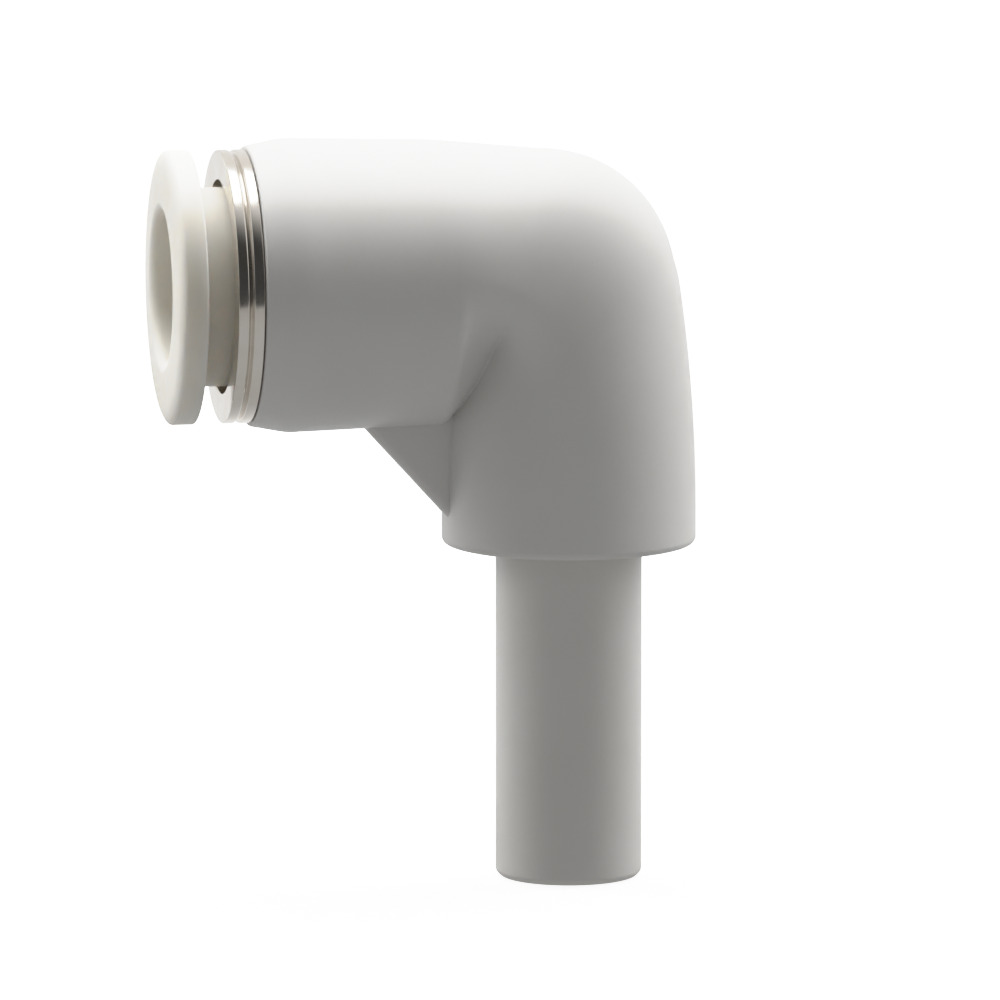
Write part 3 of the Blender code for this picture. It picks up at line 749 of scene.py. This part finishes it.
# --- Materials --------------------------------------------------------------------
class Finish:
    """A Principled material with short calls for the nodes that vary it."""

    def __init__(self, name, colour, roughness, metallic=0.0):
        self.material = bpy.data.materials.new(name)
        self.material.use_nodes = True
        self.tree = self.material.node_tree
        self.shader = self.tree.nodes["Principled BSDF"]
        self.shader.inputs["Base Color"].default_value = (*colour, 1.0)
        self.shader.inputs["Roughness"].default_value = roughness
        self.shader.inputs["Metallic"].default_value = metallic
        self.place = self.tree.nodes.new("ShaderNodeTexCoord").outputs["Object"]
        self.bump = None

    def noise(self, size, detail=2.0, stretch=None):
        """Noise whose blotches are about `size` metres across."""
        place = self.place
        if stretch:
            mapping = self.tree.nodes.new("ShaderNodeMapping")
            mapping.inputs["Scale"].default_value = stretch
            self.tree.links.new(place, mapping.inputs["Vector"])
            place = mapping.outputs["Vector"]
        node = self.tree.nodes.new("ShaderNodeTexNoise")
        node.inputs["Scale"].default_value = 1.0 / size
        node.inputs["Detail"].default_value = detail
        self.tree.links.new(place, node.inputs["Vector"])
        return node.outputs["Fac"]

    def tint(self, fac, low, high):
        """Let the colour drift between two shades."""
        ramp = self.tree.nodes.new("ShaderNodeValToRGB")
        ramp.color_ramp.elements[0].position = 0.35
        ramp.color_ramp.elements[0].color = (*low, 1.0)
        ramp.color_ramp.elements[1].position = 0.65
        ramp.color_ramp.elements[1].color = (*high, 1.0)
        self.tree.links.new(fac, ramp.inputs["Fac"])
        self.tree.links.new(ramp.outputs["Color"], self.shader.inputs["Base Color"])

    def rough(self, fac, low, high):
        """Let the roughness drift between two values."""
        spread = self.tree.nodes.new("ShaderNodeMapRange")
        spread.inputs["From Min"].default_value = 0.3
        spread.inputs["From Max"].default_value = 0.7
        spread.inputs["To Min"].default_value = low
        spread.inputs["To Max"].default_value = high
        self.tree.links.new(fac, spread.inputs["Value"])
        self.tree.links.new(spread.outputs["Result"], self.shader.inputs["Roughness"])

    def relief(self, fac, height, strength):
        """Add a bump of a given height in metres on top of any before it."""
        bump = self.tree.nodes.new("ShaderNodeBump")
        bump.inputs["Distance"].default_value = height
        bump.inputs["Strength"].default_value = strength
        self.tree.links.new(fac, bump.inputs["Height"])
        if self.bump:
            self.tree.links.new(self.bump, bump.inputs["Normal"])
        self.bump = bump.outputs["Normal"]
        self.tree.links.new(self.bump, self.shader.inputs["Normal"])

    def translucent(self, weight, depth):
        self.shader.inputs["Subsurface Weight"].default_value = weight
        self.shader.inputs["Subsurface Radius"].default_value = (1.0, 0.9, 0.75)
        self.shader.inputs["Subsurface Scale"].default_value = depth


def moulded_body():
    """Fine satin of a spark-eroded mould, slightly glossier in patches."""
    finish = Finish("moulded_body", (0.68, 0.67, 0.65), 0.42)
    finish.tint(finish.noise(6.0 * MM), (0.67, 0.66, 0.638), (0.69, 0.68, 0.662))
    finish.rough(finish.noise(1.6 * MM, 3.0), 0.38, 0.47)
    finish.relief(finish.noise(0.9 * MM), 4e-6, 0.35)
    finish.relief(finish.noise(0.09 * MM, 3.0), 2e-6, 0.4)
    finish.translucent(0.15, 0.5 * MM)
    return finish.material


def stem_plastic():
    """Smooth moulded surface with faint lines along the draw of the mould."""
    finish = Finish("stem_plastic", (0.68, 0.667, 0.64), 0.38)
    finish.tint(finish.noise(5.0 * MM), (0.67, 0.656, 0.628), (0.69, 0.678, 0.652))
    finish.rough(finish.noise(1.2 * MM, 3.0), 0.34, 0.43)
    finish.relief(finish.noise(0.35 * MM, 2.0, (1.0, 1.0, 0.03)), 2e-6, 0.35)
    finish.relief(finish.noise(0.08 * MM, 3.0), 1.5e-6, 0.3)
    finish.translucent(0.15, 0.5 * MM)
    return finish.material


def release_plastic():
    """Warm off-white acetal: waxy, smooth and a little translucent."""
    finish = Finish("release_plastic", (0.80, 0.775, 0.71), 0.42)
    finish.tint(finish.noise(3.0 * MM), (0.785, 0.755, 0.685), (0.815, 0.795, 0.735))
    finish.rough(finish.noise(0.8 * MM, 3.0), 0.37, 0.48)
    finish.relief(finish.noise(0.7 * MM), 5e-6, 0.4)
    finish.relief(finish.noise(0.07 * MM, 3.0), 1.5e-6, 0.3)
    finish.translucent(0.6, 1.2 * MM)
    finish.shader.inputs["Specular IOR Level"].default_value = 0.2
    return finish.material


def nickel_plate():
    """Bright nickel over turned brass: fine lines run round the ring."""
    finish = Finish("nickel_plate", (0.74, 0.70, 0.64), 0.13, 1.0)
    finish.tint(finish.noise(1.5 * MM), (0.72, 0.675, 0.61), (0.76, 0.725, 0.67))
    finish.rough(finish.noise(0.05 * MM, 3.0, (1.0, 0.02, 0.02)), 0.09, 0.2)
    finish.relief(finish.noise(0.04 * MM, 2.0, (1.0, 0.015, 0.015)), 1.2e-6, 0.35)
    finish.relief(finish.noise(1.3 * MM), 6e-6, 0.25)
    return finish.material


def spring_stainless():
    """Rolled stainless strip with short grinding marks."""
    finish = Finish("spring_stainless", (0.62, 0.61, 0.60), 0.24, 1.0)
    finish.tint(finish.noise(0.8 * MM), (0.58, 0.57, 0.555), (0.66, 0.65, 0.64))
    finish.rough(finish.noise(0.06 * MM, 3.0, (0.1, 1.0, 1.0)), 0.18, 0.34)
    finish.relief(finish.noise(0.05 * MM, 2.0, (0.06, 1.0, 1.0)), 1.5e-6, 0.4)
    return finish.material


def nitrile():
    """Matt black rubber with a faint bloom."""
    finish = Finish("nitrile", (0.022, 0.022, 0.024), 0.55)
    finish.tint(finish.noise(0.6 * MM, 3.0), (0.018, 0.018, 0.019), (0.032, 0.031, 0.03))
    finish.rough(finish.noise(0.25 * MM, 3.0), 0.45, 0.65)
    finish.relief(finish.noise(0.1 * MM, 3.0), 4e-6, 0.4)
    return finish.material


FINISHES = {
    "moulded_body": moulded_body(),
    "stem_plastic": stem_plastic(),
    "release_plastic": release_plastic(),
    "nickel_plate": nickel_plate(),
    "spring_stainless": spring_stainless(),
    "nitrile": nitrile(),
}


# --- Floor, light and camera ------------------------------------------------------
class Studio:
    """Short calls for the maths nodes of a world or floor shader."""

    def __init__(self, tree):
        self.tree = tree
        self.tree.nodes.clear()
        self.rays = tree.nodes.new("ShaderNodeLightPath").outputs

    def math(self, operation, a, b=0.0):
        node = self.tree.nodes.new("ShaderNodeMath")
        node.operation = operation
        for socket, value in zip(node.inputs, (a, b)):
            if isinstance(value, (int, float)):
                socket.default_value = value
            else:
                self.tree.links.new(value, socket)
        return node.outputs[0]

    def towards(self, vector, direction):
        node = self.tree.nodes.new("ShaderNodeVectorMath")
        node.operation = "DOT_PRODUCT"
        self.tree.links.new(vector, node.inputs[0])
        node.inputs[1].default_value = direction
        return node.outputs["Value"]

    def spread(self, value, low, high, at_low, at_high):
        """Smooth step from one value to another."""
        node = self.tree.nodes.new("ShaderNodeMapRange")
        node.interpolation_type = "SMOOTHSTEP"
        self.tree.links.new(value, node.inputs["Value"])
        node.inputs["From Min"].default_value = low
        node.inputs["From Max"].default_value = high
        node.inputs["To Min"].default_value = at_low
        node.inputs["To Max"].default_value = at_high
        return node.outputs["Result"]

    def choose(self, when, yes, no):
        """yes where `when` is 1, no where it is 0."""
        picked = self.math("MULTIPLY", when, yes)
        other = self.math("MULTIPLY", self.math("SUBTRACT", 1.0, when), no)
        return self.math("ADD", picked, other)


def studio_world():
    """A dim room with a soft arch of light over the object, a little behind it.

    The arch comes down to the floor at the left and right.  Shiny metal sees a white
    ceiling that fades out in front of the object, into a dark room.
    """
    world = bpy.data.worlds.new("studio")
    world.use_nodes = True
    world.cycles.sampling_method = "NONE"
    bpy.context.scene.world = world
    studio = Studio(world.node_tree)
    nodes, links = studio.tree.nodes, studio.tree.links
    direction = nodes.new("ShaderNodeTexCoord").outputs["Generated"]
    away = studio.towards(direction, -FRONT)
    up = studio.towards(direction, ALONG_Z)
    arch = studio.spread(away, 0.0, ARCH_FULL, 0.0, ARCH)
    fade = studio.spread(away, *ARCH_FADE, 1.0, ARCH_BACK)
    arch = studio.math("MULTIPLY", arch, fade)
    rise = studio.spread(up, 0.0, ARCH_RISE, ARCH_FOOT, 1.0)
    arch = studio.math("MULTIPLY", arch, rise)
    room = studio.math("ADD", arch, ROOM)
    mirrored = studio.spread(away, MIRROR_CEILING_END, 0.0, MIRROR_DARK, MIRROR_WHITE)
    seen = studio.choose(studio.rays["Is Glossy Ray"], mirrored, room)
    seen = studio.choose(studio.rays["Is Camera Ray"], PALE, seen)
    background = nodes.new("ShaderNodeBackground")
    links.new(seen, background.inputs["Strength"])
    output = nodes.new("ShaderNodeOutputWorld")
    links.new(background.outputs[0], output.inputs["Surface"])


def floor():
    """Plain pale floor at the stem's end.

    The camera sees it pale, with a faint shadow.  Shiny metal sees it end in front of
    the object, in the dark room, and brighten behind it.
    """
    bm = bmesh.new()
    bmesh.ops.create_circle(bm, cap_ends=True, segments=96, radius=3.0)
    made = add_object("floor", bm)
    material = bpy.data.materials.new("pale_floor")
    material.use_nodes = True
    made.data.materials.append(material)
    studio = Studio(material.node_tree)
    nodes, links = studio.tree.nodes, studio.tree.links
    place = nodes.new("ShaderNodeTexCoord").outputs["Object"]
    away = studio.towards(place, -FRONT)
    mirrored = studio.spread(
        away, -1.1 * FLOOR_EDGE, -0.9 * FLOOR_EDGE, MIRROR_DARK, MIRROR_FLOOR
    )
    behind = studio.spread(away, 0.0, BEHIND_SPAN, 0.0, MIRROR_BEHIND - MIRROR_FLOOR)
    mirrored = studio.math("ADD", mirrored, behind)
    glow = studio.choose(studio.rays["Is Glossy Ray"], mirrored, FLOOR_BOUNCE)
    glow = studio.choose(studio.rays["Is Camera Ray"], PALE - FLOOR_LIT, glow)
    emission = nodes.new("ShaderNodeEmission")
    links.new(glow, emission.inputs["Strength"])
    paint = nodes.new("ShaderNodeBsdfDiffuse")
    paint.inputs["Color"].default_value = (0.9, 0.9, 0.9, 1.0)
    both = nodes.new("ShaderNodeAddShader")
    links.new(emission.outputs[0], both.inputs[0])
    links.new(paint.outputs[0], both.inputs[1])
    pick = nodes.new("ShaderNodeMixShader")
    links.new(studio.rays["Is Camera Ray"], pick.inputs["Fac"])
    links.new(emission.outputs[0], pick.inputs[1])
    links.new(both.outputs[0], pick.inputs[2])
    output = nodes.new("ShaderNodeOutputMaterial")
    links.new(pick.outputs[0], output.inputs["Surface"])
    made.location.z = STEM_LOW.z - 0.02 * MM


def top_light():
    """Large soft light overhead, a little behind the object."""
    data = bpy.data.lights.new("overhead", "SUN")
    data.energy = OVERHEAD
    data.angle = OVERHEAD_SPREAD
    made = bpy.data.objects.new("overhead", data)
    source = -FRONT * sin(OVERHEAD_LEAN) + ALONG_Z * cos(OVERHEAD_LEAN)
    made.rotation_euler = source.to_track_quat("Z", "Y").to_euler()
    bpy.context.scene.collection.objects.link(made)


def tone():
    """Straight tones with a soft shoulder, so that white plastic keeps its shape."""
    view = bpy.context.scene.view_settings
    view.view_transform = "Standard"
    view.use_curve_mapping = True
    mapping = view.curve_mapping
    white = 2.5
    mapping.white_level = (white, white, white)
    curve = mapping.curves[3]
    shoulder = ((0.6, 0.6), (0.85, 0.82), (1.1, 0.9), (1.5, 0.95))
    for radiance, shown in shoulder:
        curve.points.new(radiance / white, shown)
    mapping.update()


def camera():
    data = bpy.data.cameras.new("camera")
    data.lens = VIEW_LENS
    data.clip_start = 10.0 * MM
    data.clip_end = 20.0
    made = bpy.data.objects.new("camera", data)
    level = FRONT * cos(VIEW_ELEVATION)
    towards = level + ALONG_Z * sin(VIEW_ELEVATION)
    made.location = AIM + towards * VIEW_DISTANCE
    made.rotation_euler = towards.to_track_quat("Z", "Y").to_euler()
    bpy.context.scene.collection.objects.link(made)
    bpy.context.scene.camera = made


camera()
elbow_body()
plug_stem()
stem_o_ring()
stem_bush()
guide_ring()
release_button()
chuck_rim()
for claw in range(1, CLAWS + 1):
    chuck_claw(claw)
seal_spacer()
lip_seal()
studio_world()
floor()
top_light()
tone()
